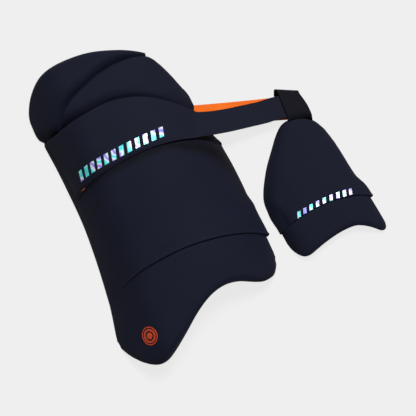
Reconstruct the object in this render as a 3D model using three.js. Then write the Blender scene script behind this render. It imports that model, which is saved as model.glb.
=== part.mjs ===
// Cricket thigh guard: a large outer guard with a hip cap, a small inner guard, and one waist belt.
// The belt closes over the outer guard's face and runs through the inner guard's loop.
// The guard lies face up with its hollow side down. Millimetres and degrees, +Z up,
// +Y towards the wearer's waist, origin on the floor under the middle of the whole guard.

import * as THREE from 'three';

// Padding and seams
const WRAP = 70;                // degrees from a guard's crown to either of its side edges
const EDGE_SINK = 3;            // how far a side edge would reach below the floor before it is flattened
const THIGH_PAD = 14;           // padding of the outer guard, from its nominal face to its back
const INNER_PAD = 10;           // padding of the inner guard
const SEAM_GAP = 0.7;           // clearance between neighbouring panels along a seam
const SIDE_GAP = 0.3;           // how much further each side of a seam opens towards the floor edges
const SIDE_FROM = 58;           // degrees from the crown where a side edge begins
const CREST = { x: -139, width: 26, lift: 6.5 };        // ridge along the outer guard's left flank
const CAP_LIFT = 4.5;           // how far the hip cap stands proud of the nominal face
const ROLL_LIFT = 2;            // how far the hip roll stands proud
const HEM_LIFT = 2;             // how far a panel's hem stands proud of the skirt below it
const HEM_FADE = 45;            // length over which the hem's lift dies out up the panel
const HEM_RISE = 22;            // degrees over which the hem rises from its left end
const THIGH_HEM_END = -48;      // degrees from the crown where a hem dies out, so the left flank is flush
const INNER_HEM_END = -55;
const BAND_LIFT = 2.6;          // raised band at a side edge, where a leg strap is sewn under the cover
const BAND_STEP = 4;            // length over which the band rises at its ends
const THIGH_BAND = { top: -57, bottom: -118 };
const INNER_BAND = { top: -94, bottom: -124 };

// Waist belt, with a navy outer layer and an orange lining
const BELT_LAYER = 1.5;         // thickness of the outer layer, and of the lining
const BELT_SPLIT = 0.3;         // gap between the two layers
const BELT_SEAT = 0.8;          // gap between the lining and the panel that it lies on
const LINING_INSET = 2.2;       // how far the lining stays back from the closing panel's edges
const TAB_TO = { lower: 38, upper: 53 };        // degrees round the guard where the belt leaves its face
const TAB_SKIVE = 0.3;          // share of the thickness left at the closing panel's sewn left edge
const TAB_SKIVE_STATIONS = 4;
const LEAVING_PULL = 0.3;       // how far the belt keeps its slope after it leaves the guard's face
const FRONT_RUN = { x: 140, lowerY: 22, upperY: 54.3, z: 15.2, turn: -11 };
const BACK_RUN = { x: 140, lowerY: 20.8, upperY: 53.8, slope: -0.326, lowerEndX: -166, upperEndX: -171 };

// Belt loop of the inner guard, and the round badge on the outer one
const LOOP_WALL = 1.8;
const LOOP_GAP = 0.4;           // gap between the loop and the panel that it is sewn to
const LOOP_HEAD = { leftX: 130.5, leftY: 67.5, rightX: 162, rightY: 53.5 };
const LOOP_FOOT = { leftAround: -17, rightAround: 44, overlap: 1.5 };
const LOOP_SPAN = { top: 18.8, bottom: 4 };
const LOOP_SHOULDER = 0.12;     // share of the way up the loop where it comes level
const LOOP_TWIST = 4.5;         // how far the loop's face lies right of its back at the open left end
const LOOP_BOW = 1.8;           // how far the loop's right edge bows out
const BADGE_RADIUS = 12.5;
const BADGE_THICKNESS = 0.8;
const BADGE_SEAT = 0.3;
const BADGE_PLACE = { around: -34.8, along: -185 };

// Fineness of the solids
const THIGH_STEP = 6;           // degrees between the outer guard's corners
const INNER_STEP = 8;
const RIM_STEPS = [0, 0.12, 0.4, 0.75];         // places inside a rounded rim, as shares of its width
const RIM_ROWS = 0.12;          // share of a panel's length that its rim rows take
const EDGE_SAMPLES = 160;
const TAB_STEPS = 16;
const BRIDGE_STEPS = 10;
const FOLD_STEPS = 6;
const BELT_COLUMNS = 6;
const LOOP_STATIONS = 4;
const BADGE_RINGS = 3;
const BADGE_SPOKES = 24;

const NAVY = 0x1c2130;
const BLACK = 0x15161a;
const ORANGE = 0xf4661b;
const CLOTH_ROUGHNESS = 0.8;
const BADGE_ROUGHNESS = 0.5;

// How a panel's edge is rounded: the width of the rounding, and the share of the half padding that is left
// at the edge on the face and on the back. Below zero, the face drops past the middle of the padding.
// A fall of 0.5 rounds the edge like a quarter of an ellipse, and a fall of 1 slopes it off sooner.
const FREE_EDGE = { round: 9, face: 0.16, back: 0.16, fall: 0.5 };
const ROLLED_EDGE = { round: 16, face: -0.4, back: 1, fall: 0.85 };
const BLUNT_EDGE = { round: 12, face: 0, back: 1, fall: 0.7 };
const TUCKED_EDGE = { round: 5, face: 0, back: 1, fall: 0.5 };
const SEWN_EDGE = { round: 2.5, face: 0.8, back: 1, fall: 0.5 };
const FLUSH_EDGE = { round: 1, face: 1, back: 1, fall: 0.5 };

// Each guard is an arch over the floor. A row gives the floor edges, the crown and the flatness of the face
// at one place along it. A flatness of 1 makes a round arch, and more makes a flat face with steep sides.
const THIGH_ARCH = [
  { along: -229, left: -205.5, right: 44, crown: 57, flatness: 1 },
  { along: -174, left: -202.5, right: 45, crown: 62, flatness: 1 },
  { along: -116, left: -192.5, right: 44.5, crown: 68, flatness: 1 },
  { along: -14, left: -184.5, right: 42, crown: 73, flatness: 1 },
  { along: 66, left: -187.5, right: 33.5, crown: 71, flatness: 1 },
  { along: 156, left: -194, right: 29, crown: 62, flatness: 1 },
  { along: 231, left: -184, right: 28, crown: 44, flatness: 1 },
];
const INNER_ARCH = [
  { along: -179, left: 66, right: 204, crown: 18, flatness: 2 },
  { along: -114, left: 60, right: 196.5, crown: 20.5, flatness: 2 },
  { along: -74, left: 55.5, right: 189.5, crown: 20.5, flatness: 2 },
  { along: -34, left: 75, right: 184, crown: 19.5, flatness: 1.8 },
  { along: 6, left: 106, right: 174.5, crown: 17, flatness: 1.4 },
  { along: 31, left: 119, right: 171, crown: 14.5, flatness: 1.2 },
];

// Seams and outlines, each running from left to right round the arch:
// around in degrees from the crown, along in millimetres.
const CAP_TOP = [
  { around: -70, along: 160 },
  { around: -67, along: 173 },
  { around: -58, along: 189.5 },
  { around: -44, along: 204 },
  { around: -24, along: 208.5 },
  { around: -4, along: 205.5 },
  { around: 16, along: 193.5 },
  { around: 37, along: 178 },
];
const CAP_EDGE = [
  { around: -43, along: 121 },
  { around: -37, along: 132 },
  { around: -28, along: 147 },
  { around: -14, along: 161 },
  { around: 3, along: 172.5 },
  { around: 20, along: 177 },
  { around: 37, along: 173.5 },
];
const SHOULDER = [
  { around: 37, along: 173.5 },
  { around: 44, along: 158.5 },
  { around: 51, along: 134.5 },
  { around: 56, along: 110.5 },
  { around: 58, along: 84 },
];
const ROLL_EDGE = [
  { around: -70, along: 123.5 },
  { around: -57, along: 120.5 },
  { around: -43, along: 119 },
  { around: -28, along: 121 },
  { around: -8, along: 125.5 },
  { around: 4, along: 124 },
  { around: 18, along: 116 },
  { around: 31, along: 103 },
  { around: 44, along: 88 },
  { around: 58, along: 73 },
];
const PANEL_SIDE = [
  { around: 58, along: 73 },
  { around: 59.5, along: 63 },
  { around: 62, along: 55 },
  { around: 66, along: 46 },
  { around: 69, along: 36 },
  { around: 70, along: 22 },
];
const THIGH_SEAM = [
  { around: -70, along: -121 },
  { around: -43, along: -111 },
  { around: -20, along: -102 },
  { around: 0, along: -99 },
  { around: 20, along: -101 },
  { around: 45, along: -108 },
  { around: 70, along: -117.5 },
];
const THIGH_BOTTOM = [
  { around: -70, along: -166 },
  { around: -66, along: -182 },
  { around: -57, along: -198.5 },
  { around: -46, along: -215.5 },
  { around: -37, along: -223.5 },
  { around: -29, along: -221 },
  { around: -16, along: -203 },
  { around: -3, along: -181 },
  { around: 8, along: -167 },
  { around: 19, along: -161.5 },
  { around: 30, along: -164.5 },
  { around: 41, along: -172.5 },
  { around: 52, along: -173.5 },
  { around: 63, along: -163 },
  { around: 70, along: -144.5 },
];
const INNER_TOP = [
  { around: -70, along: 4 },
  { around: -62, along: 13 },
  { around: -40, along: 18.5 },
  { around: -10, along: 19.5 },
  { around: 15, along: 17 },
  { around: 40, along: 11 },
  { around: 62, along: 2 },
  { around: 70, along: -6 },
];
const INNER_SEAM = [
  { around: -70, along: -122.5 },
  { around: -46, along: -117.5 },
  { around: -17, along: -111 },
  { around: 10, along: -109.5 },
  { around: 34, along: -113.5 },
  { around: 70, along: -123 },
];
const INNER_BOTTOM = [
  { around: -70, along: -138 },
  { around: -64, along: -152 },
  { around: -54, along: -162 },
  { around: -41, along: -164 },
  { around: -28, along: -160.5 },
  { around: -10, along: -155 },
  { around: 8, along: -151.5 },
  { around: 24, along: -152.5 },
  { around: 40, along: -162 },
  { around: 54, along: -170.5 },
  { around: 64, along: -170 },
  { around: 70, along: -161 },
];
const BELT_LOWER = [
  { around: -58, along: 27 },
  { around: -46, along: 31.5 },
  { around: -34, along: 35 },
  { around: -15, along: 40.5 },
  { around: 4, along: 43 },
  { around: 23, along: 41.5 },
  { around: 38, along: 38 },
];
// How the belt's back run comes down from the loop and lies along the floor.
const BACK_SAG = [
  { share: 0, z: 8.4 },
  { share: 0.15, z: 4.2 },
  { share: 0.3, z: 2.2 },
  { share: 0.65, z: 2 },
  { share: 1, z: 2 },
];

const radians = THREE.MathUtils.degToRad;
const { clamp, lerp, smoothstep } = THREE.MathUtils;
const shares = (count) => Array.from({ length: count + 1 }, (_, i) => i / count);

// The value of one column of a table at a place between its rows, on a smooth curve through the rows.
function columnAt(rows, key, place, column) {
  const last = rows.length - 1;
  let i = 0;
  while (i < last - 1 && rows[i + 1][key] <= place) i += 1;
  const slope = (k) => {
    const before = rows[Math.max(k - 1, 0)];
    const after = rows[Math.min(k + 1, last)];
    return (after[column] - before[column]) / (after[key] - before[key]);
  };
  const step = rows[i + 1][key] - rows[i][key];
  const t = clamp((place - rows[i][key]) / step, 0, 1);
  return hermite(t, rows[i][column], step * slope(i), rows[i + 1][column], step * slope(i + 1));
}

// A cubic from one value and slope to another.
function hermite(t, start, startSlope, end, endSlope) {
  const back = 1 - t;
  return (1 + 2 * t) * back * back * start + t * t * (3 - 2 * t) * end
    + t * back * back * startSlope - t * t * back * endSlope;
}

// A seam or outline as a function of the angle round the arch. Tables that follow each other are chained.
const outline = (...tables) => (around) => {
  const table = tables.find((rows) => around <= rows.at(-1).around) ?? tables.at(-1);
  return columnAt(table, 'around', around, 'along');
};

// A point on an arch's nominal face.
function facePoint(arch, around, along) {
  const left = columnAt(arch, 'along', along, 'left');
  const right = columnAt(arch, 'along', along, 'right');
  const rise = columnAt(arch, 'along', along, 'crown') + EDGE_SINK;
  const drop = (1 - Math.cos(radians(around))) / (1 - Math.cos(radians(WRAP)));
  const height = rise * (1 - drop ** columnAt(arch, 'along', along, 'flatness')) - EDGE_SINK;
  const reach = Math.sin(radians(around)) / Math.sin(radians(WRAP));
  return new THREE.Vector3((left + right) / 2 + ((right - left) / 2) * reach, along, height);
}

// A point that stands off an arch's nominal face, square to it within the cross-section.
function standOff(arch, around, along, offset) {
  const small = 0.5;
  const across = facePoint(arch, around + small, along).sub(facePoint(arch, around - small, along));
  const outward = new THREE.Vector3(-across.z, 0, across.x).normalize();
  return facePoint(arch, around, along).addScaledVector(outward, offset);
}

// How far the outer guard's face stands proud along its crest.
function crestLift(around, along) {
  const offset = (facePoint(THIGH_ARCH, around, along).x - CREST.x) / CREST.width;
  return CREST.lift * Math.exp(-offset * offset);
}

// Values from one end to the other: multiples of a step, with closer steps inside the rims at both ends.
// Panels of one arch share those multiples, so their common seams have the same corners.
function rimmedSteps(from, to, rim, step) {
  const values = RIM_STEPS.map((share) => from + share * rim);
  for (let i = Math.ceil((from + rim) / step); i * step <= to - rim; i += 1) values.push(i * step);
  return values.concat(RIM_STEPS.map((share) => to - share * rim).reverse());
}

// How much of the padding is left at a distance from an edge.
function rimProfile(distance, rim, side) {
  const inside = 1 - Math.min(distance / rim.round, 1);
  return rim[side] + (1 - rim[side]) * (1 - inside * inside) ** rim.fall;
}

function meshGeometry(positions, index) {
  const geometry = new THREE.BufferGeometry();
  geometry.setAttribute('position', new THREE.Float32BufferAttribute(positions, 3));
  geometry.setIndex(index);
  geometry.computeVertexNormals();
  return geometry;
}

// A closed solid between a front grid and a back grid of points, with walls along the four sides.
// Seen from the front, the grid's first index runs to the right and its second index runs up.
function slabGeometry(front, back) {
  const across = front.length;
  const up = front[0].length;
  const positions = [front, back].flat(2).flatMap((point) => point.toArray());
  const frontAt = (i, j) => i * up + j;
  const backAt = (i, j) => across * up + frontAt(i, j);
  const index = [];
  const quad = (a, b, c, d) => index.push(a, b, c, a, c, d);
  for (let i = 0; i < across - 1; i += 1) {
    for (let j = 0; j < up - 1; j += 1) {
      quad(frontAt(i, j), frontAt(i + 1, j), frontAt(i + 1, j + 1), frontAt(i, j + 1));
      quad(backAt(i, j), backAt(i, j + 1), backAt(i + 1, j + 1), backAt(i + 1, j));
    }
    quad(frontAt(i + 1, 0), frontAt(i, 0), backAt(i, 0), backAt(i + 1, 0));
    quad(frontAt(i, up - 1), frontAt(i + 1, up - 1), backAt(i + 1, up - 1), backAt(i, up - 1));
  }
  for (let j = 0; j < up - 1; j += 1) {
    quad(frontAt(0, j), frontAt(0, j + 1), backAt(0, j + 1), backAt(0, j));
    const end = across - 1;
    quad(frontAt(end, j + 1), frontAt(end, j), backAt(end, j), backAt(end, j + 1));
  }
  return meshGeometry(positions, index);
}

// A sheet about a grid of points, shifted to its front side by an offset.
// share, where it is given, scales the offset and thickness at each station.
function sheetGeometry(grid, offset, thickness, share = () => 1) {
  const at = (i, j) => grid[clamp(i, 0, grid.length - 1)][clamp(j, 0, grid[0].length - 1)];
  const shifted = (distance) => grid.map((row, i) => row.map((point, j) => {
    const onward = at(i + 1, j).clone().sub(at(i - 1, j));
    const across = at(i, j + 1).clone().sub(at(i, j - 1));
    return point.clone().addScaledVector(onward.cross(across).normalize(), distance * share(i));
  }));
  return slabGeometry(shifted(offset + thickness / 2), shifted(offset - thickness / 2));
}

// A padded panel of an arch, between an upper and a lower outline, with a rim rule for each edge.
// The panel is flattened where it rests on the floor.
function paddedPanel({ arch, pad, upper, lower, from, to, lift, upperRim, lowerRim, endRim, step, rows }) {
  const widest = arch.reduce((width, row) => Math.max(width, row.right - row.left), 0);
  const perDegree = (radians(1) * widest) / (2 * Math.sin(radians(WRAP)));
  const columns = rimmedSteps(from, to, FREE_EDGE.round / perDegree, step);
  const rowShares = rimmedSteps(0, 1, RIM_ROWS, 1 / rows);

  const edge = [];
  for (const share of shares(EDGE_SAMPLES)) {
    const around = lerp(from, to, share);
    edge.push({ around, along: upper(around), rim: upperRim(around) });
    edge.push({ around, along: lower(around), rim: lowerRim(around) });
    edge.push({ around: from, along: lerp(lower(from), upper(from), share), rim: endRim(from) });
    edge.push({ around: to, along: lerp(lower(to), upper(to), share), rim: endRim(to) });
  }
  const padShare = (around, along, side) => {
    const nearest = new Map();
    for (const place of edge) {
      const distance = Math.hypot((place.around - around) * perDegree, place.along - along);
      nearest.set(place.rim, Math.min(distance, nearest.get(place.rim) ?? Infinity));
    }
    let left = 1;
    for (const [rim, distance] of nearest) left *= rimProfile(distance, rim, side);
    return left;
  };

  const surface = (side, direction) => columns.map((around) => rowShares.map((share) => {
    const along = lerp(lower(around), upper(around), share);
    const raised = lift(around, along);
    const core = (raised - pad) / 2;
    const half = ((raised + pad) / 2) * padShare(around, along, side);
    const point = standOff(arch, around, along, core + direction * half);
    return point.setZ(Math.max(point.z, 0));
  }));
  return slabGeometry(surface('face', 1), surface('back', -1));
}

const halfGap = (around) => SEAM_GAP / 2 + SIDE_GAP * smoothstep(Math.abs(around), SIDE_FROM, WRAP);
const above = (edge) => (around) => edge(around) + halfGap(around);
const below = (edge) => (around) => edge(around) - halfGap(around);

const ROLL_TIP = CAP_EDGE[0].around;
const CAP_END = CAP_EDGE.at(-1).around;
const ROLL_END = ROLL_EDGE.at(-1).around;
const capEdge = outline(ROLL_EDGE.filter((row) => row.around <= ROLL_TIP), CAP_EDGE);
const rollEdge = outline(ROLL_EDGE);
const thighSeam = outline(THIGH_SEAM);
const innerSeam = outline(INNER_SEAM);
const innerTop = outline(INNER_TOP);
const free = () => FREE_EDGE;
const sewnFrom = (end) => (around) => (around < end ? FLUSH_EDGE : SEWN_EDGE);

// A panel's hem stands proud of the skirt. It dies out up the panel and towards the left flank.
const hemLift = (seam, end) => (around, along) => (
  HEM_LIFT * smoothstep(around, end, end + HEM_RISE) * (1 - smoothstep(along - seam(around), 0, HEM_FADE))
);
const thighHem = hemLift(thighSeam, THIGH_HEM_END);
const innerHem = hemLift(innerSeam, INNER_HEM_END);

const sideBand = (around, along, band) => (
  BAND_LIFT * smoothstep(around, SIDE_FROM, SIDE_FROM + 8)
  * smoothstep(band.top - along, 0, BAND_STEP) * smoothstep(along - band.bottom, -BAND_STEP, 0)
);

const wholeArch = { from: -WRAP, to: WRAP, endRim: free };
const thighSide = { ...wholeArch, arch: THIGH_ARCH, pad: THIGH_PAD, step: THIGH_STEP };
const innerSide = { ...wholeArch, arch: INNER_ARCH, pad: INNER_PAD, step: INNER_STEP };

const hipCap = () => paddedPanel({
  ...thighSide,
  to: CAP_END,
  upper: outline(CAP_TOP),
  lower: above(capEdge),
  lift: (around, along) => CAP_LIFT + crestLift(around, along),
  upperRim: free,
  lowerRim: (around) => (around < -SIDE_FROM ? BLUNT_EDGE : ROLLED_EDGE),
  rows: 7,
});

const hipRoll = () => paddedPanel({
  ...thighSide,
  from: ROLL_TIP + 1,
  to: ROLL_END,
  upper: below(outline(CAP_EDGE, SHOULDER)),
  lower: above(rollEdge),
  lift: (around, along) => ROLL_LIFT + crestLift(around, along),
  upperRim: (around) => (around <= CAP_END ? TUCKED_EDGE : FREE_EDGE),
  lowerRim: () => ROLLED_EDGE,
  endRim: (around) => (around < 0 ? TUCKED_EDGE : FREE_EDGE),
  rows: 7,
});

const thighPanel = () => paddedPanel({
  ...thighSide,
  upper: below(outline(ROLL_EDGE, PANEL_SIDE)),
  lower: above(thighSeam),
  lift: (around, along) => (
    crestLift(around, along) + thighHem(around, along) + sideBand(around, along, THIGH_BAND)
  ),
  upperRim: (around) => (around <= ROLL_END ? TUCKED_EDGE : FREE_EDGE),
  lowerRim: sewnFrom(THIGH_HEM_END),
  rows: 13,
});

const thighSkirt = () => paddedPanel({
  ...thighSide,
  upper: below(thighSeam),
  lower: outline(THIGH_BOTTOM),
  lift: crestLift,
  upperRim: sewnFrom(THIGH_HEM_END),
  lowerRim: free,
  rows: 7,
});

const innerPanel = () => paddedPanel({
  ...innerSide,
  upper: innerTop,
  lower: above(innerSeam),
  lift: (around, along) => innerHem(around, along) + sideBand(Math.abs(around), along, INNER_BAND),
  upperRim: free,
  lowerRim: sewnFrom(INNER_HEM_END),
  rows: 11,
});

const innerSkirt = () => paddedPanel({
  ...innerSide,
  upper: below(innerSeam),
  lower: outline(INNER_BOTTOM),
  lift: () => 0,
  upperRim: sewnFrom(INNER_HEM_END),
  lowerRim: free,
  rows: 6,
});

// One station of the belt's closing panel, which lies on the outer guard's face.
// A station holds the points across the belt, from its lower to its upper edge, between its two layers.
function tabStation(share) {
  const seat = BELT_SEAT + BELT_LAYER + BELT_SPLIT / 2;
  return shares(BELT_COLUMNS).map((across) => {
    const around = lerp(BELT_LOWER[0].around, lerp(TAB_TO.lower, TAB_TO.upper, across), share);
    const lower = outline(BELT_LOWER)(Math.min(around, TAB_TO.lower));
    const upper = rollEdge(around) - 2 * SEAM_GAP;
    const along = lerp(lower, upper, across);
    return standOff(THIGH_ARCH, around, along, seat + crestLift(around, along));
  });
}

// A smooth curve between two points that leaves and arrives along given directions.
function bridgePoint(start, leaving, end, arriving, t) {
  const reach = start.distanceTo(end);
  const along = (axis) => hermite(
    t, start[axis], LEAVING_PULL * reach * leaving[axis], end[axis], reach * arriving[axis],
  );
  return new THREE.Vector3(along('x'), along('y'), along('z'));
}

// The belt's path: the closing panel, the bridge to the inner guard's loop, the fold inside the loop,
// and the back run that goes under the outer guard to its left flank.
function beltStations() {
  const stations = shares(TAB_STEPS).map(tabStation);
  const tabEnd = stations.at(-1);
  const beforeEnd = tabStation(1 - 0.1 / TAB_STEPS);
  const leaving = tabEnd.map((point, j) => point.clone().sub(beforeEnd[j]).normalize());
  const turn = radians(FRONT_RUN.turn);
  const arriving = new THREE.Vector3(Math.cos(turn), Math.sin(turn), 0);
  const edgeToEdge = ({ x, lowerY, upperY }, z) => shares(BELT_COLUMNS).map((across) => (
    new THREE.Vector3(x, lerp(lowerY, upperY, across), z)
  ));

  const frontEnd = edgeToEdge(FRONT_RUN, FRONT_RUN.z);
  for (const t of shares(BRIDGE_STEPS).slice(1)) {
    stations.push(tabEnd.map((point, j) => bridgePoint(point, leaving[j], frontEnd[j], arriving, t)));
  }

  const backStart = edgeToEdge(BACK_RUN, BACK_SAG[0].z);
  const foldRadius = (FRONT_RUN.z - BACK_SAG[0].z) / 2;
  for (const share of shares(FOLD_STEPS).slice(1)) {
    const angle = Math.PI * share;
    stations.push(frontEnd.map((point, j) => point.clone()
      .lerp(backStart[j], (1 - Math.cos(angle)) / 2)
      .addScaledVector(arriving, foldRadius * Math.sin(angle))));
  }

  for (const { share, z } of BACK_SAG.slice(1)) {
    stations.push(backStart.map((point, j) => {
      const endX = lerp(BACK_RUN.lowerEndX, BACK_RUN.upperEndX, j / BELT_COLUMNS);
      const x = lerp(point.x, endX, share);
      return new THREE.Vector3(x, point.y + BACK_RUN.slope * (x - point.x), z);
    }));
  }
  return stations;
}

// The lining's stations are the belt's, drawn in from both edges on the closing panel.
function liningStations(stations) {
  return stations.map((station, i) => {
    const inset = LINING_INSET * (1 - smoothstep(i, TAB_STEPS, TAB_STEPS + BRIDGE_STEPS));
    return station.map((point, j) => {
      const inward = station[clamp(j, 1, BELT_COLUMNS - 1)].clone().sub(point).normalize();
      return point.clone().addScaledVector(inward, inset);
    });
  });
}

// The inner guard's loop: a band sewn to the face of its rounded top edge, over the belt and to the back.
function beltLoop() {
  const radius = (LOOP_SPAN.top - LOOP_SPAN.bottom) / 2;
  const padLeft = INNER_PAD * rimProfile(LOOP_FOOT.overlap, FREE_EDGE, 'face');
  const seat = padLeft / 2 + LOOP_GAP + LOOP_WALL / 2;
  const grid = shares(LOOP_STATIONS).map((share) => {
    const around = lerp(LOOP_FOOT.leftAround, LOOP_FOOT.rightAround, share);
    const along = innerTop(around) - LOOP_FOOT.overlap;
    const faceFoot = standOff(INNER_ARCH, around, along, -INNER_PAD / 2 + seat);
    const backFoot = standOff(INNER_ARCH, around, along, -INNER_PAD / 2 - seat);
    const head = new THREE.Vector3(
      lerp(LOOP_HEAD.leftX, LOOP_HEAD.rightX, share),
      lerp(LOOP_HEAD.leftY, LOOP_HEAD.rightY, share) - radius - LOOP_WALL / 2,
      LOOP_SPAN.bottom + radius,
    );
    const twist = LOOP_TWIST * (1 - share);
    const bend = shares(FOLD_STEPS).map((step) => new THREE.Vector3(
      head.x + twist * (1 - step),
      head.y + radius * Math.sin(Math.PI * step),
      head.z + radius * Math.cos(Math.PI * step),
    ));
    const bow = new THREE.Vector3(LOOP_BOW * share, 0, 0);
    const faceShoulder = faceFoot.clone().lerp(bend[0], LOOP_SHOULDER).setZ(LOOP_SPAN.top);
    const backShoulder = backFoot.clone().lerp(bend.at(-1), LOOP_SHOULDER).setZ(LOOP_SPAN.bottom);
    const faceMiddle = faceShoulder.clone().lerp(bend[0], 0.5).add(bow);
    const backMiddle = backShoulder.clone().lerp(bend.at(-1), 0.5).add(bow);
    return [faceFoot, faceShoulder, faceMiddle, ...bend, backMiddle, backShoulder, backFoot];
  });
  return sheetGeometry(grid, 0, LOOP_WALL);
}

// The round badge on the skirt, curved to lie on it.
function roundBadge() {
  const { around, along } = BADGE_PLACE;
  const oneSide = facePoint(THIGH_ARCH, around - 0.5, along);
  const perDegree = facePoint(THIGH_ARCH, around + 0.5, along).distanceTo(oneSide);
  const positions = [];
  const onSkirt = (turned, up, height) => (
    standOff(THIGH_ARCH, turned, up, height + crestLift(turned, up)).toArray()
  );
  for (const height of [BADGE_SEAT + BADGE_THICKNESS, BADGE_SEAT]) {
    positions.push(...onSkirt(around, along, height));
    for (let ring = 1; ring <= BADGE_RINGS; ring += 1) {
      const radius = (BADGE_RADIUS * ring) / BADGE_RINGS;
      for (let spoke = 0; spoke < BADGE_SPOKES; spoke += 1) {
        const angle = (2 * Math.PI * spoke) / BADGE_SPOKES;
        const turned = around + (radius * Math.cos(angle)) / perDegree;
        positions.push(...onSkirt(turned, along + radius * Math.sin(angle), height));
      }
    }
  }
  const layer = positions.length / 6;
  const at = (side, ring, spoke) => (
    side * layer + (ring ? 1 + (ring - 1) * BADGE_SPOKES + (spoke % BADGE_SPOKES) : 0)
  );
  const index = [];
  for (let spoke = 0; spoke < BADGE_SPOKES; spoke += 1) {
    const next = spoke + 1;
    index.push(at(0, 0, 0), at(0, 1, spoke), at(0, 1, next));
    index.push(at(1, 0, 0), at(1, 1, next), at(1, 1, spoke));
    for (let ring = 1; ring < BADGE_RINGS; ring += 1) {
      index.push(at(0, ring, spoke), at(0, ring + 1, spoke), at(0, ring + 1, next));
      index.push(at(0, ring, spoke), at(0, ring + 1, next), at(0, ring, next));
      index.push(at(1, ring, spoke), at(1, ring + 1, next), at(1, ring + 1, spoke));
      index.push(at(1, ring, spoke), at(1, ring, next), at(1, ring + 1, next));
    }
    index.push(at(0, BADGE_RINGS, spoke), at(1, BADGE_RINGS, spoke), at(1, BADGE_RINGS, next));
    index.push(at(0, BADGE_RINGS, spoke), at(1, BADGE_RINGS, next), at(0, BADGE_RINGS, next));
  }
  return meshGeometry(positions, index);
}

const guard = new THREE.Group();
function addPart(name, geometry, color, roughness) {
  const mesh = new THREE.Mesh(geometry, new THREE.MeshStandardMaterial({ color, roughness, metalness: 0 }));
  mesh.name = name;
  guard.add(mesh);
}

addPart('hip_cap', hipCap(), NAVY, CLOTH_ROUGHNESS);
addPart('hip_roll', hipRoll(), NAVY, CLOTH_ROUGHNESS);
addPart('thigh_panel', thighPanel(), NAVY, CLOTH_ROUGHNESS);
addPart('thigh_skirt', thighSkirt(), NAVY, CLOTH_ROUGHNESS);
addPart('inner_panel', innerPanel(), NAVY, CLOTH_ROUGHNESS);
addPart('inner_skirt', innerSkirt(), NAVY, CLOTH_ROUGHNESS);

const belt = beltStations();
const layerShift = (BELT_LAYER + BELT_SPLIT) / 2;
const skive = (station) => TAB_SKIVE + (1 - TAB_SKIVE) * smoothstep(station, 0, TAB_SKIVE_STATIONS);
addPart('belt_outer', sheetGeometry(belt, layerShift, BELT_LAYER, skive), NAVY, CLOTH_ROUGHNESS);
const beltLining = sheetGeometry(liningStations(belt), -layerShift, BELT_LAYER, skive);
addPart('belt_lining', beltLining, ORANGE, CLOTH_ROUGHNESS);
addPart('belt_loop', beltLoop(), BLACK, CLOTH_ROUGHNESS);
addPart('round_badge', roundBadge(), ORANGE, BADGE_ROUGHNESS);

// The origin goes on the floor under the middle of the whole guard.
const box = new THREE.Box3().setFromObject(guard);
const middle = box.getCenter(new THREE.Vector3()).setZ(box.min.z);
for (const mesh of guard.children) mesh.geometry.translate(-middle.x, -middle.y, -middle.z);

export default guard;
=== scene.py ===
# %% [markdown]
# # A padded thigh guard
# The object is a large outer guard with a hip cap and a small inner guard, both hung on one waist belt.
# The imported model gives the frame: where each panel lies, how thick it is and how far it reaches.
# Each soft solid is then replaced by a piece with fuller padding, finer edges and a cloth finish.

# %% Load the frame
import math
import bmesh
import bpy
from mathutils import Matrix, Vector, geometry, kdtree


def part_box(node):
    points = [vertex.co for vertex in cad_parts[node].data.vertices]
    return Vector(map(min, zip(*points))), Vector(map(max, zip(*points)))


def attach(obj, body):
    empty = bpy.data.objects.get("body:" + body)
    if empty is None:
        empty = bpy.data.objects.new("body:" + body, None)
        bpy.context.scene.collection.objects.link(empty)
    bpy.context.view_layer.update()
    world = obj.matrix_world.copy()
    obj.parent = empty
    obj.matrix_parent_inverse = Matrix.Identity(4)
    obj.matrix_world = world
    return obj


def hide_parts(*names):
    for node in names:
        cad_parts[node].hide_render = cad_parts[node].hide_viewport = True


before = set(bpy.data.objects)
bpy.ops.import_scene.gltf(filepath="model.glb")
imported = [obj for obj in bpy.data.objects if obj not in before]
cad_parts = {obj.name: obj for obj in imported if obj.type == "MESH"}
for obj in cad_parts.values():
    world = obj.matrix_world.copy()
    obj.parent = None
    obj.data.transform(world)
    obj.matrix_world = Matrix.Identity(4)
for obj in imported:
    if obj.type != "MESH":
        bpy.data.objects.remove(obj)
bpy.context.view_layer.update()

MM = 0.001
scene = bpy.context.scene


# %% [markdown]
# ## Handling one piece at a time
# An operator acts on everything that is selected, so each step first picks one piece and nothing else.
# A copy of a node arrives as loose triangles. Merging its corners and pairing the triangles gives back
# the rows and columns that it was drawn with, and subdivision follows such quads smoothly.
# Subdivision also pulls every outline in, so the corners are first pushed out by as much as it misses them.

# %% Helpers for picking, copying and finishing
MERGE_REACH = 0.01 * MM
PAIR_ANGLE = math.radians(70)
FIT_ROUNDS = 3
FIT_SHARE = 0.8
SHARP = math.radians(50)


def pick(piece):
    bpy.ops.object.select_all(action="DESELECT")
    piece.select_set(True)
    bpy.context.view_layer.objects.active = piece


def begin_edit(piece, kind):
    pick(piece)
    bpy.ops.object.mode_set(mode="EDIT")
    bpy.ops.mesh.select_mode(type=kind)


def end_edit():
    bpy.ops.object.mode_set(mode="OBJECT")


def copy_of_node(node, name):
    piece = bpy.data.objects.new(name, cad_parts[node].data.copy())
    scene.collection.objects.link(piece)
    piece.data.materials.clear()
    pick(piece)
    bpy.ops.mesh.customdata_custom_splitnormals_clear()
    begin_edit(piece, "VERT")
    bpy.ops.mesh.select_all(action="SELECT")
    bpy.ops.mesh.remove_doubles(threshold=MERGE_REACH)
    bpy.ops.mesh.tris_convert_to_quads(face_threshold=PAIR_ANGLE, shape_threshold=PAIR_ANGLE)
    end_edit()
    return piece


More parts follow.
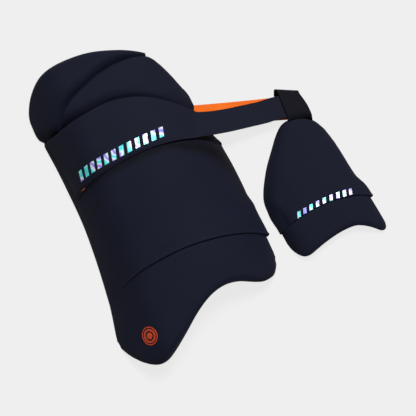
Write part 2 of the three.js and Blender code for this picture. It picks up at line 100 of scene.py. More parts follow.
def apply_modifier(piece, kind, **settings):
    pick(piece)
    bpy.ops.object.modifier_add(type=kind)
    modifier = piece.modifiers[-1]
    for name, value in settings.items():
        setattr(modifier, name, value)
    bpy.ops.object.modifier_apply(modifier=modifier.name)


def fit_cage(piece):
    goals = [corner.co.copy() for corner in piece.data.vertices]
    pick(piece)
    bpy.ops.object.modifier_add(type="SUBSURF")
    trial = piece.modifiers[-1]
    trial.levels = trial.render_levels = 1
    for attempt in range(FIT_ROUNDS):
        reached = piece.evaluated_get(bpy.context.evaluated_depsgraph_get()).data.vertices
        misses = [goal - reached[number].co for number, goal in enumerate(goals)]
        for corner, miss in zip(piece.data.vertices, misses):
            corner.co += miss * FIT_SHARE
        piece.data.update()
    bpy.ops.object.modifier_remove(modifier=trial.name)


def smooth(piece, levels):
    fit_cage(piece)
    apply_modifier(piece, "SUBSURF", levels=levels, render_levels=levels)
    pick(piece)
    bpy.ops.object.shade_smooth_by_angle(angle=SHARP)


def crease_edges(piece, value, where=lambda place: True):
    begin_edit(piece, "EDGE")
    bpy.ops.mesh.select_all(action="DESELECT")
    shape = bmesh.from_edit_mesh(piece.data)
    for edge in shape.edges:
        middle = edge.verts[0].co.lerp(edge.verts[1].co, 0.5)
        edge.select_set(edge.calc_face_angle(0) > SHARP and where(middle))
    bmesh.update_edit_mesh(piece.data)
    bpy.ops.transform.edge_crease(value=value)
    end_edit()


def settle(piece, finish, slot, *nodes):
    piece.data.materials.append(finish)
    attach(piece, "root")
    if nodes:
        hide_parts(*nodes)
    print(piece.name, "has", len(piece.data.polygons), "faces")


# %% [markdown]
# ## Writing materials as sums
# A woven finish is arithmetic: waves are scaled and added to noise. Drawing that as dozens of Math nodes
# by hand is slow, so one small class wraps a socket, and Python's operators add the nodes.

# %% A socket that can be added and multiplied
class Flow:
    """A value on its way through a material's nodes."""

    def __init__(self, tree, socket=None):
        self.tree = tree
        self.socket = socket

    def node(self, kind, settings, inputs, output=0):
        made = self.tree.nodes.new("ShaderNode" + kind)
        for name, value in settings.items():
            if name == "stops":
                ramp = made.color_ramp
                while len(ramp.elements) < len(value):
                    ramp.elements.new(0.5)
                for element, (place, colour) in zip(ramp.elements, value):
                    element.position = place
                    element.color = (*colour, 1)
            else:
                setattr(made, name, value)
        for name, value in inputs.items():
            if isinstance(value, Flow):
                self.tree.links.new(value.socket, made.inputs[name])
            else:
                made.inputs[name].default_value = value
        return Flow(self.tree, made.outputs[output])

    def math(self, operation, first, second=0.0):
        return self.node("Math", {"operation": operation}, {0: first, 1: second})

    def __add__(self, other):
        return self.math("ADD", self, other)

    def __mul__(self, other):
        return self.math("MULTIPLY", self, other)

    __radd__ = __add__
    __rmul__ = __mul__

    def wave(self, period):
        return self.math("SINE", self * (2 * math.pi / period))

    def ramp(self, low, high):
        return self.node("MapRange", {"interpolation_type": "SMOOTHSTEP"}, {0: self, 1: low, 2: high})

    def between(self, first, second):
        settings = {"data_type": "RGBA"}
        return self.node("Mix", settings, {0: self, 6: (*first, 1), 7: (*second, 1)}, 2)


def new_finish(name):
    finish = bpy.data.materials.new(name)
    finish.use_nodes = True
    return finish, Flow(finish.node_tree), finish.node_tree.nodes["Principled BSDF"]


def place_in(flow, turn=(0, 0, 0)):
    """The three coordinates of a point on the piece, in metres, after a turn."""
    coordinates = flow.node("TexCoord", {}, {}, "Object")
    turned = flow.node("Mapping", {}, {"Vector": coordinates, "Rotation": turn})
    split = [flow.node("SeparateXYZ", {}, {"Vector": turned}, axis) for axis in range(3)]
    return turned, *split


def connect(flow, shader, colour, roughness, height, depth):
    bump = flow.node("Bump", {}, {"Strength": 1.0, "Distance": depth, "Height": height})
    for name, value in {"Base Color": colour, "Roughness": roughness, "Normal": bump}.items():
        flow.tree.links.new(value.socket, shader.inputs[name])


# %% [markdown]
# ## The navy cover of the pads
# The cover is a stretch knit on foam: nearly black, dead matte, with loops under a millimetre apart.
# A sum of waves along all three axes gives a loop pattern that doesn't smear on the steep flanks.
# Soft noise varies the dye a little, and the rims are a shade lighter. A shadow is painted into the colour
# below the belt's lower edge.

# %% Knit cover
COVER_DEEP = (0.0055, 0.0066, 0.0158)
COVER_PALE = (0.0095, 0.0114, 0.0270)
# colour of the shadow painted on the thigh panel below the belt
PAINTED_SHADOW_DARK = (0.0016, 0.0017, 0.0030)
KNIT_TURN = (0.3, 0.2, 0.6)
KNIT_DEPTH = 0.05 * MM
KNIT_SHINE = 0.12


def knit_cover(name, deep, pale):
    finish, flow, shader = new_finish(name)
    point, x, y, z = place_in(flow, KNIT_TURN)
    loops = x.wave(0.6 * MM) + y.wave(0.7 * MM) + z.wave(0.6 * MM)
    patches = flow.node("TexNoise", {}, {"Vector": point, "Scale": 22, "Detail": 3})
    fuzz = flow.node("TexNoise", {}, {"Vector": point, "Scale": 1400, "Detail": 2})
    rim = flow.node("Attribute", {"attribute_name": "rim"}, {}, "Fac")
    shade = patches * 0.5 + fuzz * 0.3 + loops * 0.03 + rim * 0.15
    unshadowed = shade.ramp(0.1, 0.8).between(deep, pale)
    # a painted shadow: where the attribute is set, the colour is mixed towards a near black
    rubbed = flow.node("Attribute", {"attribute_name": "rubbed"}, {}, "Fac")
    colour = flow.node("Mix", {"data_type": "RGBA"}, {0: rubbed, 6: unshadowed, 7: (*PAINTED_SHADOW_DARK, 1)}, 2)
    roughness = patches * 0.12 + rim * 0.06 + 0.74
    connect(flow, shader, colour, roughness, loops * 0.3 + fuzz * 0.5, KNIT_DEPTH)
    shader.inputs["Specular IOR Level"].default_value = KNIT_SHINE
    return finish


pad_cover = knit_cover("navy knit", COVER_DEEP, COVER_PALE)
print("made", pad_cover.name)


# %% [markdown]
# ## Finding a pad's rim
# The rim is the line between the face of a pad and its back. Picking the faces that look outwards and asking
# for the outline of that region finds it, whatever the outline's shape. Outwards means away from a line
# under the middle of the arch. The distance to the rim then says where cloth is held by a seam, and where
# it rubs. Such effects fade in softly, so a pair of lengths says where a fade starts and where it ends.

# %% Rim of a pad
ARCH_CENTRE = -30 * MM
OUTWARD = 0.15


def rim_of(piece, middle, part=lambda point: True):
    begin_edit(piece, "FACE")
    bpy.ops.mesh.select_all(action="DESELECT")
    shape = bmesh.from_edit_mesh(piece.data)
    for face in shape.faces:
        centre = face.calc_center_median()
        outward = Vector((centre.x - middle, 0, centre.z - ARCH_CENTRE)).normalized()
        face.select_set(face.normal.dot(outward) > OUTWARD)
    bmesh.update_edit_mesh(piece.data)
    bpy.ops.mesh.region_to_loop()
    points = []
    for edge in bmesh.from_edit_mesh(piece.data).edges:
        if edge.select:
            start, end = (corner.co for corner in edge.verts)
            steps = max(1, round((end - start).length / MM))
            points += [start.lerp(end, step / steps) for step in range(steps)]
    end_edit()
    points = [point for point in points if part(point)]
    rim = kdtree.KDTree(len(points))
    for number, point in enumerate(points):
        rim.insert(point, number)
    rim.balance()
    return rim


def fade(value, low, high):
    """A soft step from 0 at the low value to 1 at the high one."""
    share = min(max((value - low) / (high - low), 0), 1)
    return share * share * (3 - 2 * share)


# %% [markdown]
# ## Swelling a pad
# Foam under a stretched cover bulges between its seams. Blender's cloth can show that: the cover is sewn
# shut, pressed out from inside, held along its rim, and stopped after a few steps. A remesh would erase
# the thin rims, so the copy keeps its own rows, and a cap on the movement keeps each pad in its place.

# %% Cloth pass
STEPS = 20
QUALITY = 6
PRESSURE = 4


def swell(piece, held, most):
    group = piece.vertex_groups.new(name="held")
    for corner in piece.data.vertices:
        group.add([corner.index], held(corner.co), "REPLACE")
    rest = [corner.co.copy() for corner in piece.data.vertices]
    pick(piece)
    bpy.ops.object.modifier_add(type="CLOTH")
    cloth = piece.modifiers[-1]
    cloth.settings.quality = QUALITY
    cloth.settings.use_pressure = True
    cloth.settings.uniform_pressure_force = PRESSURE
    cloth.settings.vertex_group_mass = "held"
    cloth.settings.effector_weights.gravity = 0
    cloth.point_cache.frame_start = 1
    cloth.point_cache.frame_end = STEPS
    for step in range(1, STEPS + 1):
        scene.frame_set(step)
    bpy.ops.object.modifier_apply(modifier=cloth.name)
    scene.frame_set(1)
    furthest = 0.0
    for corner, start in zip(piece.data.vertices, rest):
        move = corner.co - start
        furthest = max(furthest, move.length)
        if move.length > most:
            corner.co = start + move.normalized() * most
    return furthest


# %% [markdown]
# A padded piece goes through the same steps each time: copy, smooth, swell, smooth again, and mark the rim,
# where the cover wears lighter. What is pressed from outside can't swell, and a flush edge stays crisp.

# %% Making a padded piece
HELD_RIM = (2 * MM, 16 * MM)
WORN_RIM = (0.5 * MM, 5 * MM)


def padded_piece(node, middle, most, pressed=lambda place: 0.0, flush=lambda place: False):
    piece = copy_of_node(node, node + "_pad")
    rim = rim_of(piece, middle)

    def held(place):
        return max(1 - fade(rim.find(place)[2], *HELD_RIM), pressed(place))

    crease_edges(piece, 1, flush)
    smooth(piece, 1)
    furthest = swell(piece, held, most)
    crease_edges(piece, 1, flush)
    smooth(piece, 1)
    worn = piece.data.attributes.new("rim", "FLOAT", "POINT")
    for corner, mark in zip(piece.data.vertices, worn.data):
        corner.co.z = max(corner.co.z, 0)
        mark.value = 1 - fade(rim.find(corner.co)[2], *WORN_RIM)
    piece.vertex_groups.clear()
    settle(piece, pad_cover, "pad_fabric", node)
    print(node, "cover moved up to", round(furthest / MM, 2), "mm before the cap")
    return piece


# %% [markdown]
# ## The outer guard
# Four pads make the outer guard: a cap over the hip, a roll under it, the long thigh panel and a skirt.
# The belt presses on the panel's upper part, so that part can't bulge. Towards the left side the skirt is
# sewn flush to the panel, so the two edges stay crisp there and meet without a groove.

# %% Pads of the outer guard
THIGH_MIDDLE = -77 * MM
BELT_EDGE = 34 * MM
BELT_PRESS = 22 * MM


def under_belt(place):
    return fade(place.y, BELT_EDGE - BELT_PRESS, BELT_EDGE)


def left_end(reach, low, high):
    return lambda place: place.x < reach and low < place.y < high


thigh_flush = left_end(reach=-163 * MM, low=-125 * MM, high=-93 * MM)
hip_cap = padded_piece("hip_cap", THIGH_MIDDLE, most=2 * MM)
hip_roll = padded_piece("hip_roll", THIGH_MIDDLE, most=2 * MM)
thigh_panel = padded_piece("thigh_panel", THIGH_MIDDLE, most=2.5 * MM, pressed=under_belt, flush=thigh_flush)
thigh_skirt = padded_piece("thigh_skirt", THIGH_MIDDLE, most=1.5 * MM, flush=thigh_flush)


# %% [markdown]
# ## The inner guard
# The inner guard is made in the same way from two thinner pads, which swell less. Its skirt is flush with
# its panel at the left end as well.

# %% Pads of the inner guard
INNER_MIDDLE = 131 * MM
inner_flush = left_end(reach=72 * MM, low=-126 * MM, high=-98 * MM)
inner_panel = padded_piece("inner_panel", INNER_MIDDLE, most=1.5 * MM, flush=inner_flush)
inner_skirt = padded_piece("inner_skirt", INNER_MIDDLE, most=1.0 * MM, flush=inner_flush)


# %% [markdown]
# ## Closing the seams
# Where two pads meet, the lower one is sewn under the upper one. The solids keep a small gap there, which
# would let the floor shine through. Each corner of the lower pad close to the upper pad is drawn on to it.

# %% Seams
SEAM_REACH = 3 * MM
SEAM_DEPTH = 0.3 * MM


def sew_under(piece, cover):
    drawn = 0
    for corner in piece.data.vertices:
        hit, place, normal, face = cover.closest_point_on_mesh(corner.co, distance=SEAM_REACH)
        if hit:
            share = 1 - fade((place - corner.co).length, 0.5 * SEAM_REACH, SEAM_REACH)
            corner.co += (place - normal * SEAM_DEPTH - corner.co) * share
            corner.co.z = max(corner.co.z, 0)
            drawn += 1
    print(piece.name, "sewn under", cover.name, "at", drawn, "corners")


sew_under(hip_roll, hip_cap)
sew_under(thigh_panel, hip_cap)
sew_under(thigh_panel, hip_roll)
sew_under(thigh_skirt, thigh_panel)
sew_under(inner_skirt, inner_panel)


# %% [markdown]
# ## Folds and a painted shadow
# Cloth pulled over foam folds softly. The hem of the inner guard turns a corner at its left end and runs up
# the panel as a shallow fold. On the outer guard a shadow is painted into the cover below the belt's lower
# edge, strongest where the belt leaves it. Each is a line on the pad, seen from above. A row of its table
# holds x, y, a strength and a reach, with lengths in millimetres. A fold's strength is its depth, and the
# painted shadow's is its darkness.

# %% Lines on the pads
FACE_UP = 0.2
HEM_FOLD = [(73, -112, 1.1, 7), (72.5, -98, 0.8, 7), (69, -84, 0.4, 7)]
# painted shadow below the belt's lower edge: x, y, darkness and reach of the shade
BELT_SHADOW_LINE = [
    (-164, 37, 0.4, 7),
    (-134, 42, 0.6, 9),
    (-85, 47, 0.7, 10),
    (-36, 47, 0.7, 10),
    (6, 32, 0.8, 17),
    (27, 17, 1.0, 22),
    (37, -12, 0.7, 14),
    (38, -50, 0.3, 10),
]


def felt_from(line, place):
    flat = place.xy / MM
    most = 0.0
    for (*start, weak, near), (*end, strong, far) in zip(line, line[1:]):
        start, end = Vector(start), Vector(end)
        share = min(max(geometry.intersect_point_line(flat, start, end)[1], 0), 1)
        away = (flat - start.lerp(end, share)).length
        strength = weak + (strong - weak) * share
        reach = near + (far - near) * share
        most = max(most, strength * (1 - fade(away, 0, reach)))
    return most


def sink_line(piece, line):
    for corner in piece.data.vertices:
        if corner.normal.z > FACE_UP:
            corner.co -= corner.normal * (felt_from(line, corner.co) * MM)
    print(piece.name, "folded along", len(line), "points")


# paints shade into the pad's colour along the line, where the belt's shadow falls
def paint_shadow_line(piece, line):
    rubbed = piece.data.attributes.new("rubbed", "FLOAT", "POINT")
    for corner, mark in zip(piece.data.vertices, rubbed.data):
        mark.value = felt_from(line, corner.co)
    print(piece.name, "rubbed along", len(line), "points")


sink_line(inner_panel, HEM_FOLD)
# the belt's shadow is painted on the thigh panel
paint_shadow_line(thigh_panel, BELT_SHADOW_LINE)


# %% [markdown]
# ## The belt
# The belt is two layers of woven cloth that run together: navy outside and orange inside. A slanting wave
# makes the twill and fine noise the nap, so one function serves both layers and the loop's webbing.

# %% Finishes of the belt
WEAVE_DEPTH = 0.12 * MM


def woven_strap(name, turn, deep, pale, rib, shine):
    finish, flow, shader = new_finish(name)
    point, x, y, z = place_in(flow, (0, 0, turn))
    twill = (x + y * 0.6).wave(rib) * 0.5 + y.wave(rib * 0.8) * 0.35
    patches = flow.node("TexNoise", {}, {"Vector": point, "Scale": 35, "Detail": 3})
    nap = flow.node("TexNoise", {}, {"Vector": point, "Scale": 1100, "Detail": 2})
    shade = patches * 0.45 + nap * 0.35 + twill * 0.12 + 0.1
    colour = shade.ramp(0.2, 0.85).between(deep, pale)
    roughness = patches * 0.14 + 0.72
    connect(flow, shader, colour, roughness, twill * 0.5 + nap * 0.6, WEAVE_DEPTH)
    shader.inputs["Specular IOR Level"].default_value = shine
    return finish


STRAP_TURN = math.radians(11)
NAVY_DEEP = (0.0052, 0.0062, 0.0148)
NAVY_PALE = (0.0088, 0.0106, 0.0250)
ORANGE_DEEP = (0.84, 0.130, 0.005)
ORANGE_PALE = (1.0, 0.200, 0.014)
belt_cover = woven_strap("navy belt", STRAP_TURN, NAVY_DEEP, NAVY_PALE, rib=1.2 * MM, shine=0.14)
lining_cloth = woven_strap("orange lining", STRAP_TURN, ORANGE_DEEP, ORANGE_PALE, rib=1.0 * MM, shine=0.2)
print("made", belt_cover.name, "and", lining_cloth.name)


# %% [markdown]
# A flat strap has crisp edges, so its sharp edges are creased before subdivision rounds the rest.
# Between the guard and the loop the front run hangs free, so it sags a little. The back run lies lower
# and is left as it is.

# %% Outer layer of the belt
STRAP_CREASE = 0.85
TAB_END = 6 * MM
TAB_MIDDLE = 66 * MM
TAB_LOW = 18 * MM
SAG_DEPTH = 2.0 * MM
SAG_START = (TAB_END, 60 * MM)
SAG_END = (100 * MM, 128 * MM)
FRONT_RUN = (8 * MM, 12 * MM)


def sag(piece):
    for corner in piece.data.vertices:
        span = fade(corner.co.x, *SAG_START) * (1 - fade(corner.co.x, *SAG_END))
        corner.co.y -= SAG_DEPTH * span * fade(corner.co.z, *FRONT_RUN)


def on_tab(point):
    return point.x < TAB_END and point.y < TAB_MIDDLE and point.z > TAB_LOW


belt_face = copy_of_node("belt_outer", "belt_face")
tab_edge = rim_of(belt_face, THIGH_MIDDLE, on_tab)
crease_edges(belt_face, STRAP_CREASE)
smooth(belt_face, 2)
sag(belt_face)
settle(belt_face, belt_cover, "belt_fabric", "belt_outer")


# %% [markdown]
# The closing panel grips the guard's face, so its lower edge is rolled down on to the cover: the underside
# sinks from its seat on the lining to a lower one, and the cloth is pressed thinner. At one corner it has
# come loose, and a spot of the lining shows there.

# %% Edge of the closing panel
LOOSE_SPOT = Vector((-158.5, 36.5, 37)) * MM
LOOSE_REACH = (5 * MM, 10 * MM)
TAB_ROLL = (0.5 * MM, 3.6 * MM)
ROLL_END = (-90 * MM, TAB_END)
FACE_SEAT = 2.6 * MM
EDGE_SEAT = 0.5 * MM
EDGE_THIN = 0.6


def roll_edge(piece, edge, surface):
    rolled = 0
    for corner in piece.data.vertices:
        share = 1 - fade(edge.find(corner.co)[2], *TAB_ROLL)
        share *= fade((corner.co - LOOSE_SPOT).length, *LOOSE_REACH)
        share *= 1 - fade(corner.co.x, *ROLL_END)
        if share > 0:
            hit, place, normal, face = surface.closest_point_on_mesh(corner.co)
            height = (corner.co - place).dot(normal)
            seat = EDGE_SEAT + max(height - FACE_SEAT, 0) * EDGE_THIN
            corner.co += normal * ((seat - height) * share)
            rolled += 1
    print(piece.name, "rolled down at", rolled, "corners")


roll_edge(belt_face, tab_edge, thigh_panel)


# %% [markdown]
# The lining is cut a little narrower than the face, so its orange doesn't show along the closing panel,
# apart from the loose corner, where it has slipped out. Beside the loop it is pulled out a little as well.

# %% Lining moved at its edges
SET_BACK = 3.5 * MM
CORNER_SLIP = 3.4 * MM
SLIP_REACH = (6 * MM, 14 * MM)
LOOP_SLIP = 1.8 * MM
LOOP_SIDE = (92 * MM, 108 * MM)
ON_GUARD = 11 * MM


def lining_inset(place, inward):
    if place.z > ON_GUARD:
        loose = 1 - fade((place - LOOSE_SPOT).length, *SLIP_REACH)
        return SET_BACK * (1 - loose) - CORNER_SLIP * loose
    lower_edge = inward.y > 0.5
    return -LOOP_SLIP * fade(place.x, *LOOP_SIDE) * lower_edge


def move_edge(piece, inset):
    begin_edit(piece, "VERT")
    shape = bmesh.from_edit_mesh(piece.data)
    border = [edge for edge in shape.edges if edge.calc_face_angle(0) > SHARP]
    outline = {corner for edge in border for corner in edge.verts}
    moves = {}
    for corner in outline:
        inner = {near for face in corner.link_faces for near in face.verts} - outline
        if inner:
            inward = min((near.co - corner.co for near in inner), key=lambda way: way.length).normalized()
            moves[corner] = inward * inset(corner.co, inward)
    for corner, move in moves.items():
        corner.co += move
    bmesh.update_edit_mesh(piece.data)
    end_edit()
    print(piece.name, "moved at", len(moves), "corners of its edges")


belt_back = copy_of_node("belt_lining", "belt_back")
move_edge(belt_back, lining_inset)
crease_edges(belt_back, STRAP_CREASE)
smooth(belt_back, 2)
sag(belt_back)
settle(belt_back, lining_cloth, "lining_fabric", "belt_lining")


# %% [markdown]
# ## The loop
# The inner guard hangs on a loop of black webbing that wraps the belt's fold. Its two ends are stitched down
# hard on the guard's top, so what lies close to the guard is flattened on to it. At the right foot the
# webbing turns down softly, so its edges aren't creased there.

# %% Loop
WEBBING_TURN = math.radians(-21)
BLACK_DEEP = (0.0044, 0.0047, 0.0080)
BLACK_PALE = (0.0088, 0.0093, 0.0150)
RIGHT_FOOT_X = 153 * MM
RIGHT_FOOT_Y = 28 * MM
FOOT_THICK = 0.5 * MM
FOOT_REACH = 9 * MM
FOOT_KEPT = 0.25


def stitch_down(piece, surface):
    for corner in piece.data.vertices:
        hit, place, normal, face = surface.closest_point_on_mesh(corner.co, distance=FOOT_REACH)
        if hit:
            away = corner.co - place
            kept = FOOT_KEPT + (1 - FOOT_KEPT) * fade(away.length, FOOT_THICK, FOOT_REACH)
            corner.co = place + away * kept


def off_right_foot(place):
    return place.x < RIGHT_FOOT_X or place.y > RIGHT_FOOT_Y


webbing = woven_strap("black webbing", WEBBING_TURN, BLACK_DEEP, BLACK_PALE, rib=2.0 * MM, shine=0.10)
webbing_loop = copy_of_node("belt_loop", "webbing_loop")
crease_edges(webbing_loop, STRAP_CREASE, off_right_foot)
smooth(webbing_loop, 2)
stitch_down(webbing_loop, inner_panel)
settle(webbing_loop, webbing, "loop_webbing", "belt_loop")


# %% [markdown]
# ## Laying a flat piece on a curved one
# Trim is easiest to model flat, with its height above the cloth as Z. It is then laid on the finished cloth:
# a ray from above finds the middle, and each corner goes to the nearest point of the cloth and keeps its
# height above it.

# %% Helper for trim
ABOVE_ALL = 200 * MM


def lay_on(piece, surface, over, heading):
    hit, place, normal, face = surface.ray_cast(Vector((*over, ABOVE_ALL)), Vector((0, 0, -1)))
    across = (heading - normal * heading.dot(normal)).normalized()
    upward = normal.cross(across)
    for corner in piece.data.vertices:
        flat = place + across * corner.co.x + upward * corner.co.y
        hit, foot, slope, face = surface.closest_point_on_mesh(flat)
        corner.co = foot + normal * corner.co.z


# %% [markdown]
# ## The badge
# A round badge is moulded in soft rubber and glued on the skirt. Its raised parts are orange and its sunk
# field is dark. A float attribute on the badge keeps each corner's height, and the material reads it.

# %% Rubber of the badge
FIELD_DARK = (0.020, 0.004, 0.003)
RAISED_ORANGE = (0.52, 0.060, 0.022)
RUBBER_GRAIN = 0.05 * MM
RUBBER_SHINE = 0.3


def badge_rubber():
    finish, flow, shader = new_finish("badge rubber")
    point, x, y, z = place_in(flow)
    relief = flow.node("Attribute", {"attribute_name": "relief"}, {}, "Fac")
    grain = flow.node("TexNoise", {}, {"Vector": point, "Scale": 900, "Detail": 2})
    shade = relief.ramp(0.5, 0.9) * 0.8 + grain * 0.2
    colour = shade.ramp(0.05, 0.95).between(FIELD_DARK, RAISED_ORANGE)
    roughness = grain * 0.25 + 0.4
    connect(flow, shader, colour, roughness, grain, RUBBER_GRAIN)
    shader.inputs["Specular IOR Level"].default_value = RUBBER_SHINE
    return finish


rubber = badge_rubber()
print("made", rubber.name)


# %% [markdown]
# From a disc, one extrusion makes the wall. Pairs of insets then step down and up again towards the middle,
# which leaves a rim, a ring and a button. A row of the table holds the width of a flat and the step after it,
# in millimetres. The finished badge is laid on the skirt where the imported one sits.

# %% Badge
BADGE_RADIUS = 12.4 * MM
BADGE_SIDES = 64
BADGE_SEAT = 0.25 * MM
BADGE_WALL = 0.75 * MM
BEVEL = 0.15 * MM
RINGS = [(1.1, -0.6), (1.6, 0.6), (2.4, -0.6), (2.2, 0.6)]
BUTTON_DOME = 1.0 * MM
BADGE_SHARP = math.radians(30)


def raise_face(height):
    bpy.ops.mesh.extrude_region_move(TRANSFORM_OT_translate={"value": (0, 0, height)})


def lift(height):
    bpy.ops.transform.translate(value=(0, 0, height))


badge_low, badge_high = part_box("round_badge")
badge_over = ((badge_low.x + badge_high.x) / 2, (badge_low.y + badge_high.y) / 2)
bpy.ops.object.select_all(action="DESELECT")
bpy.ops.mesh.primitive_circle_add(vertices=BADGE_SIDES, radius=BADGE_RADIUS, fill_type="NGON")
badge = bpy.context.object
badge.name = "badge"
begin_edit(badge, "FACE")
bpy.ops.mesh.select_all(action="SELECT")
lift(BADGE_SEAT)
raise_face(BADGE_WALL)
bpy.ops.mesh.inset(thickness=BEVEL)
lift(BEVEL)
for width, step in RINGS:
    bpy.ops.mesh.inset(thickness=width * MM)
    bpy.ops.mesh.inset(thickness=BEVEL)
    lift(step * MM)
bpy.ops.mesh.inset(thickness=BUTTON_DOME)
lift(BEVEL)
end_edit()
relief = badge.data.attributes.new("relief", "FLOAT", "POINT")
for corner, mark in zip(badge.data.vertices, relief.data):
    mark.value = corner.co.z / MM
lay_on(badge, thigh_skirt, badge_over, Vector((1, 0, 0)))
pick(badge)
bpy.ops.object.shade_smooth_by_angle(angle=BADGE_SHARP)
settle(badge, rubber, "badge_rubber", "round_badge")


# %% [markdown]
# ## Reflective bars
# A row of slanted bars in a colour-shifting foil is pressed on the belt's closing panel, and a smaller row
# on the inner guard. The foil's colours drift along the row, so a wave bent by noise picks them from a ramp.

# %% Foil
FOIL_TURN = math.radians(-35)
FOIL_GRAIN = 0.05 * MM
FOIL_COLOURS = [
    (0.0, (0.06, 0.75, 0.80)),
    (0.35, (0.45, 0.95, 0.95)),
    (0.55, (0.95, 0.95, 1.0)),
    (0.75, (0.80, 0.60, 0.95)),
    (1.0, (0.22, 0.25, 0.85)),
]


def foil():
    finish, flow, shader = new_finish("colour-shift foil")
    point, x, y, z = place_in(flow, (0, 0, FOIL_TURN))
    drift = flow.node("TexNoise", {}, {"Vector": point, "Scale": 55, "Detail": 1})
    phase = (x * 55 + drift * 1.6).wave(1.0) * 0.5 + 0.5
    colour = flow.node("ValToRGB", {"stops": FOIL_COLOURS}, {"Fac": phase})
    roughness = drift * 0.2 + 0.25
    connect(flow, shader, colour, roughness, drift, FOIL_GRAIN)
    shader.inputs["Metallic"].default_value = 0.15
    return finish


foil_finish = foil()
print("made", foil_finish.name)


# %% [markdown]
# One bar is a plane whose upper edge is pushed sideways, subdivided so that it can follow the cloth, and
# thickened. The other bars are copies of it. Each is laid on the cloth, and then all are joined to one piece.

# %% One bar and a row of bars
BAR_SEAT = 0.1 * MM
BAR_THICK = 0.25 * MM
BAR_CUTS = 5


def slanted_bar(name, width, height, slant):
    bpy.ops.object.select_all(action="DESELECT")
    bpy.ops.mesh.primitive_plane_add(size=1)
    bar = bpy.context.object
    bar.name = name
    begin_edit(bar, "VERT")
    bpy.ops.mesh.select_all(action="SELECT")
    bpy.ops.transform.resize(value=(width, height, 1))
    bpy.ops.mesh.select_all(action="DESELECT")
    shape = bmesh.from_edit_mesh(bar.data)
    for corner in shape.verts:
        corner.select_set(corner.co.y > 0)
    shape.select_flush_mode()
    bpy.ops.transform.translate(value=(slant, 0, 0))
    bpy.ops.mesh.select_all(action="SELECT")
    bpy.ops.mesh.subdivide(number_cuts=BAR_CUTS)
    lift(BAR_SEAT)
    raise_face(BAR_THICK)
    end_edit()
    return bar


def bar_row(name, surface, places, width, height, slant, heading):
    row = slanted_bar(name, width, height, slant)
    bars = [row]
    while len(bars) < len(places):
        pick(row)
        bpy.ops.object.duplicate()
        bars.append(bpy.context.object)
    for bar, over in zip(bars, places):
        lay_on(bar, surface, over, heading)
    pick(row)
    for bar in bars:
        bar.select_set(True)
    bpy.ops.object.join()
    begin_edit(row, "FACE")
    bpy.ops.mesh.select_all(action="SELECT")
    bpy.ops.mesh.normals_make_consistent(inside=False)
    end_edit()
    return row


def turns(first, last, count):
    return [math.radians(first + (last - first) * number / (count - 1)) for number in range(count)]


# %% [markdown]
# The places of a row are equal turns round the guard. Seen from above they crowd together towards its flank.
# The row on the belt climbs evenly, and the row on the inner guard bends down at its left end with the hem.

# %% Row on the belt
BELT_ROW_X = -74.7 * MM
BELT_ROW_Y = 63.4 * MM
BELT_ROW_ROUND = 117 * MM
BELT_ROW_CLIMB = 8 * MM
belt_places = [
    (BELT_ROW_X + BELT_ROW_ROUND * math.sin(turn), BELT_ROW_Y + BELT_ROW_CLIMB * turn)
    for turn in turns(first=-47, last=17, count=12)]
belt_bars = bar_row(
    "belt_bars", belt_face, belt_places,
    width=6.5 * MM, height=13.5 * MM, slant=4.5 * MM, heading=Vector((1, 0.06, 0)))
settle(belt_bars, foil_finish, "belt_fabric")


# %% Row on the inner guard
INNER_ROW_X = 127.6 * MM
INNER_ROW_Y = -97.6 * MM
INNER_ROW_ROUND = 71 * MM
INNER_ROW_DROP = 10 * MM
INNER_ROW_TOP = 0.15
inner_places = [
    (INNER_ROW_X + INNER_ROW_ROUND * math.sin(turn),
     INNER_ROW_Y - INNER_ROW_DROP * math.sin(turn - INNER_ROW_TOP) ** 2)
    for turn in turns(first=-31, last=35, count=9)]
inner_bars = bar_row(
    "inner_bars", inner_panel, inner_places,
    width=4.6 * MM, height=8.5 * MM, slant=3 * MM, heading=Vector((1, 0, 0)))
settle(inner_bars, foil_finish, "pad_fabric")


# %% [markdown]
# ## Floor, light and camera
# The photo is a plain studio shot from above: a pale floor, one broad soft light from the upper right,
# and a long lens. The floor glows, so it stays pale and even while the guard still shades it a little.
# Its glow is kept off the guard, which would otherwise be lit from below.

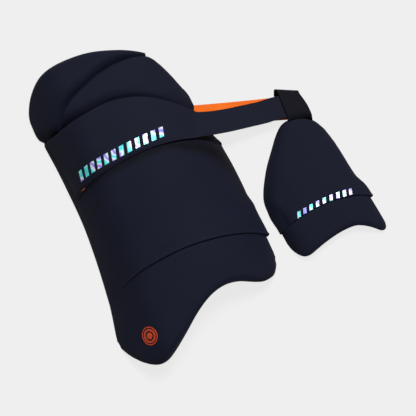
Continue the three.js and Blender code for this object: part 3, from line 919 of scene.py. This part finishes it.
# %% Floor
FLOOR_SIDE = 8
FLOOR_DROP = 0.2 * MM
FLOOR_GREY = (0.07, 0.07, 0.07, 1)
FLOOR_GLOW = 0.79
bpy.ops.object.select_all(action="DESELECT")
bpy.ops.mesh.primitive_plane_add(size=FLOOR_SIDE, location=(0, 0, -FLOOR_DROP))
floor = bpy.context.object
floor.name = "floor"
floor_finish, floor_flow, floor_shader = new_finish("pale floor")
floor_shader.inputs["Base Color"].default_value = FLOOR_GREY
floor_shader.inputs["Roughness"].default_value = 0.9
floor_shader.inputs["Specular IOR Level"].default_value = 0.0
floor_shader.inputs["Emission Color"].default_value = (1, 1, 1, 1)
floor_shader.inputs["Emission Strength"].default_value = FLOOR_GLOW
floor.data.materials.append(floor_finish)
floor.visible_diffuse = False
print("floor", FLOOR_SIDE, "m wide")


# %% Light
LIGHT_FROM = Vector((0.30, 0.36, 1.0))
LIGHT_ENERGY = 3.3
LIGHT_SPREAD = math.radians(20)
ROOM_LIGHT = 0.09
bpy.ops.object.light_add(type="SUN", location=LIGHT_FROM * 2)
key_light = bpy.context.object
key_light.name = "key light"
key_light.data.energy = LIGHT_ENERGY
key_light.data.angle = LIGHT_SPREAD
key_light.rotation_mode = "QUATERNION"
key_light.rotation_quaternion = (-LIGHT_FROM).to_track_quat("-Z", "Y")
studio = bpy.data.worlds.new("studio")
studio.use_nodes = True
studio.node_tree.nodes["Background"].inputs["Color"].default_value = (1, 1, 1, 1)
studio.node_tree.nodes["Background"].inputs["Strength"].default_value = ROOM_LIGHT
scene.world = studio
scene.view_settings.view_transform = "Standard"
print("key light of", LIGHT_ENERGY, "and room light of", ROOM_LIGHT)


# %% Camera
AZIMUTH = math.radians(-23)
ELEVATION = math.radians(79)
TARGET = Vector((-18.13, -46.37, 30)) * MM
DISTANCE = 1.9
LENS = 121.8
SENSOR = 36
back = Vector((
    math.sin(AZIMUTH) * math.cos(ELEVATION),
    -math.cos(AZIMUTH) * math.cos(ELEVATION),
    math.sin(ELEVATION),
))
bpy.ops.object.camera_add(location=TARGET + back * DISTANCE)
camera = bpy.context.object
camera.data.lens = LENS
camera.data.sensor_width = SENSOR
camera.rotation_mode = "QUATERNION"
camera.rotation_quaternion = (-back).to_track_quat("-Z", "Y")
scene.camera = camera
print("camera", DISTANCE, "m from its target, with a lens of", LENS, "mm")
